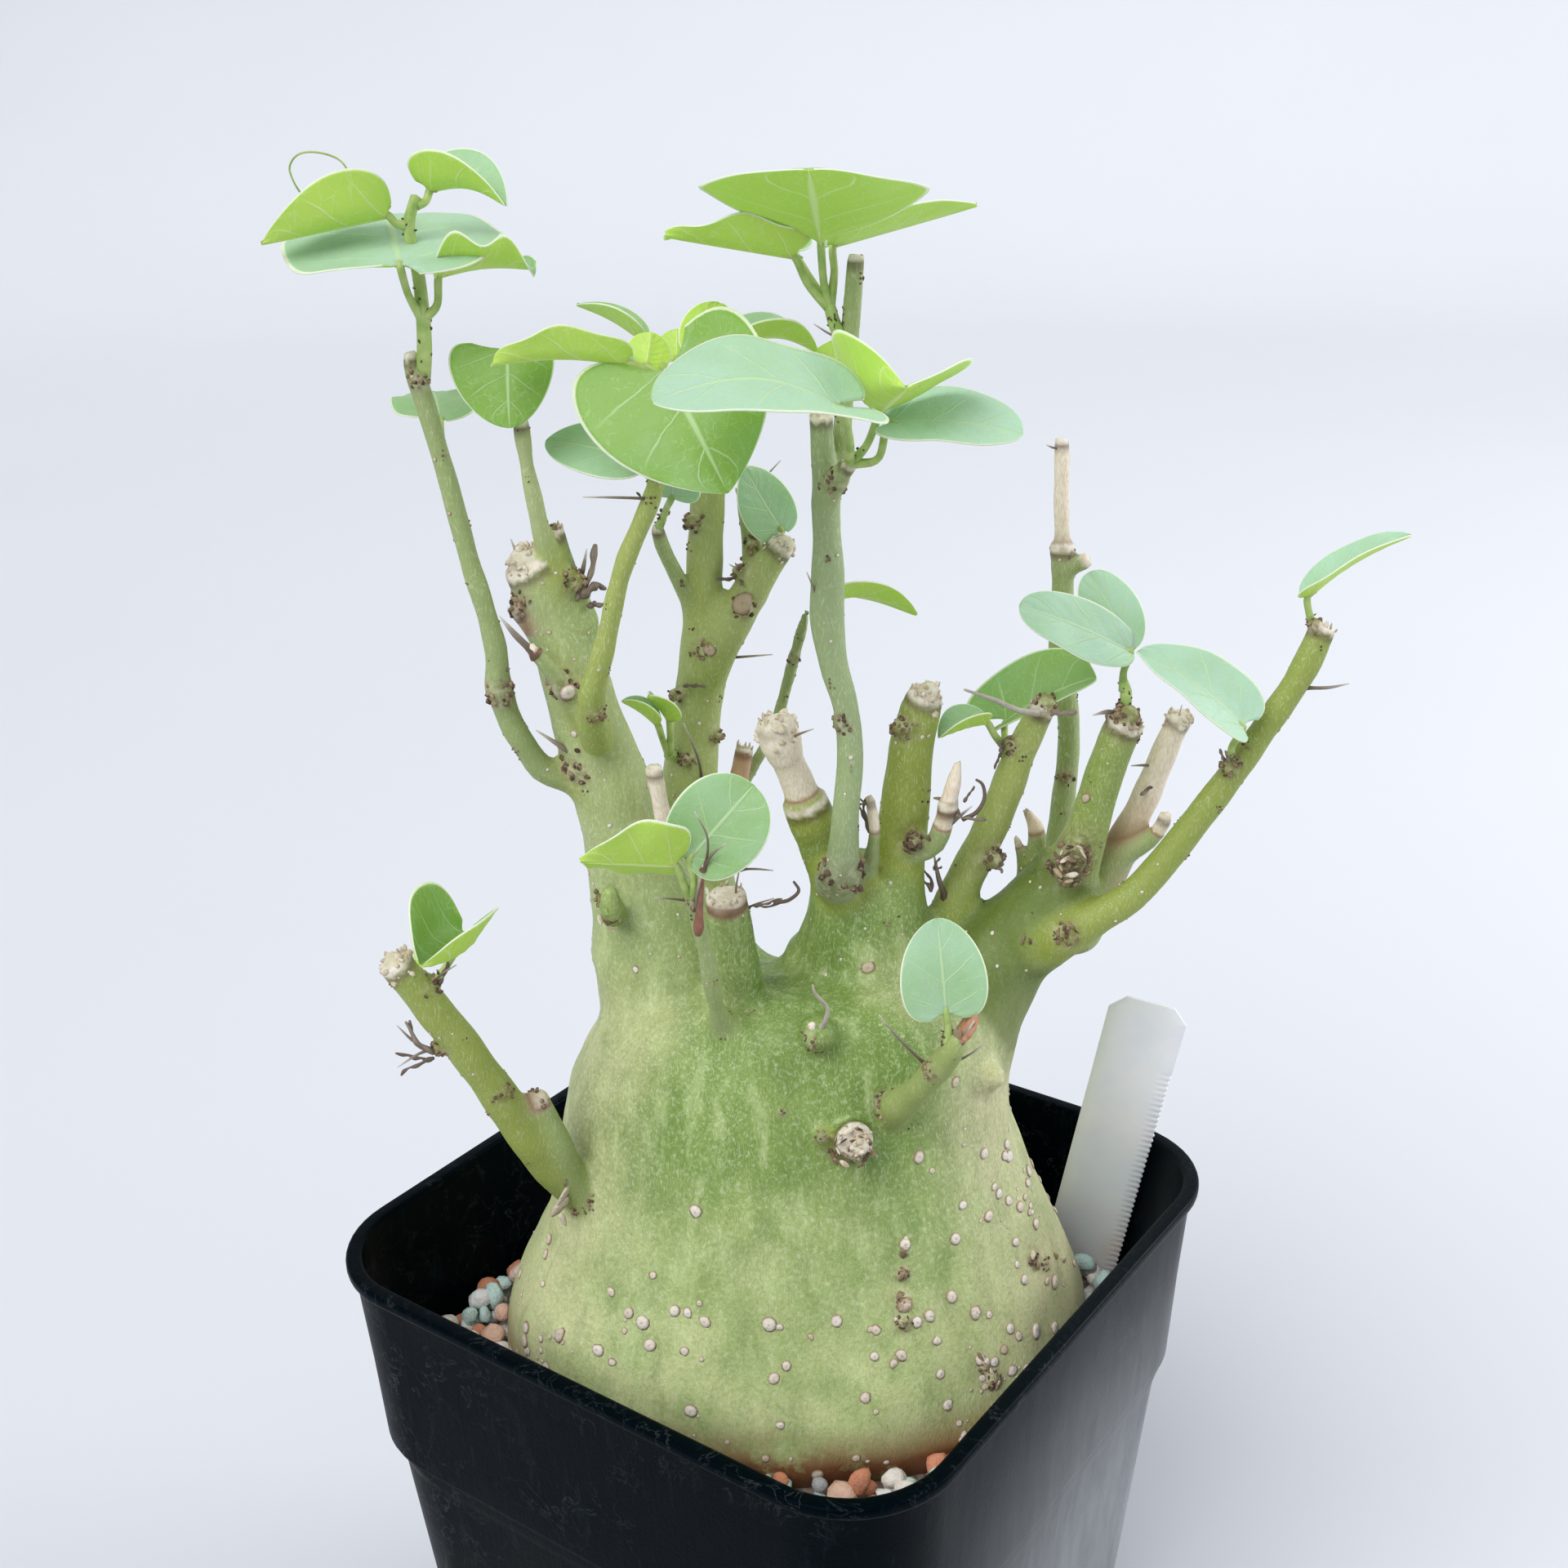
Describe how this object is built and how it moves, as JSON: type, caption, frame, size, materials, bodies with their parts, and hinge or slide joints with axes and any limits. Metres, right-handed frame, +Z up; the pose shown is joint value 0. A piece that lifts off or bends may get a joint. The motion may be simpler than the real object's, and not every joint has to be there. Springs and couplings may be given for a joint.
{
  "type": "potted caudex plant",
  "caption": "Bottle-shaped green caudex with cut back, spiny stems and rounded leaves, in gravel in a square black nursery pot with a blank label.",
  "frame": {"origin": "centre of the pot's underside", "axes": "+Z up, X and Y square to the pot's sides; the plant's front is turned about 36 degrees from -Y towards +X, so that it faces a corner of the pot"},
  "size_m": [0.1784, 0.15, 0.3758],
  "materials": {
    "pot_plastic": "satin black",
    "potting_mix": "rough, crumbly",
    "gravel_stone": "matt, mixed colours",
    "label_plastic": "satin",
    "green_bark": "matt green bark",
    "leaf": "waxy, glaucous above"
  },
  "bodies": {
    "root": {"caudex_and_stems": "green_bark", "gravel": "gravel_stone", "label": "label_plastic", "leaf_centre_behind": "leaf", "leaf_centre_hanging": "leaf", "leaf_centre_left_low": "leaf", "leaf_centre_left_small": "leaf", "leaf_centre_top_low": "leaf", "leaf_left_behind": "leaf", "leaf_left_hanging": "leaf", "leaf_low_left": "leaf", "leaf_low_right": "leaf", "leaf_right_fork": "leaf", "leaf_right_long_stem": "leaf", "leaf_right_long_stem_top": "leaf", "leafy_shoot_back_arm": "leaf", "leafy_shoot_centre_front": "leaf", "leafy_shoot_centre_left": "leaf", "leafy_shoot_centre_top": "leaf", "leafy_shoot_left_top": "leaf", "leafy_shoot_low_middle": "leaf", "leafy_shoot_right_slim": "leaf", "pot": "pot_plastic", "potting_mix": "potting_mix"}
  },
  "joints": []
}
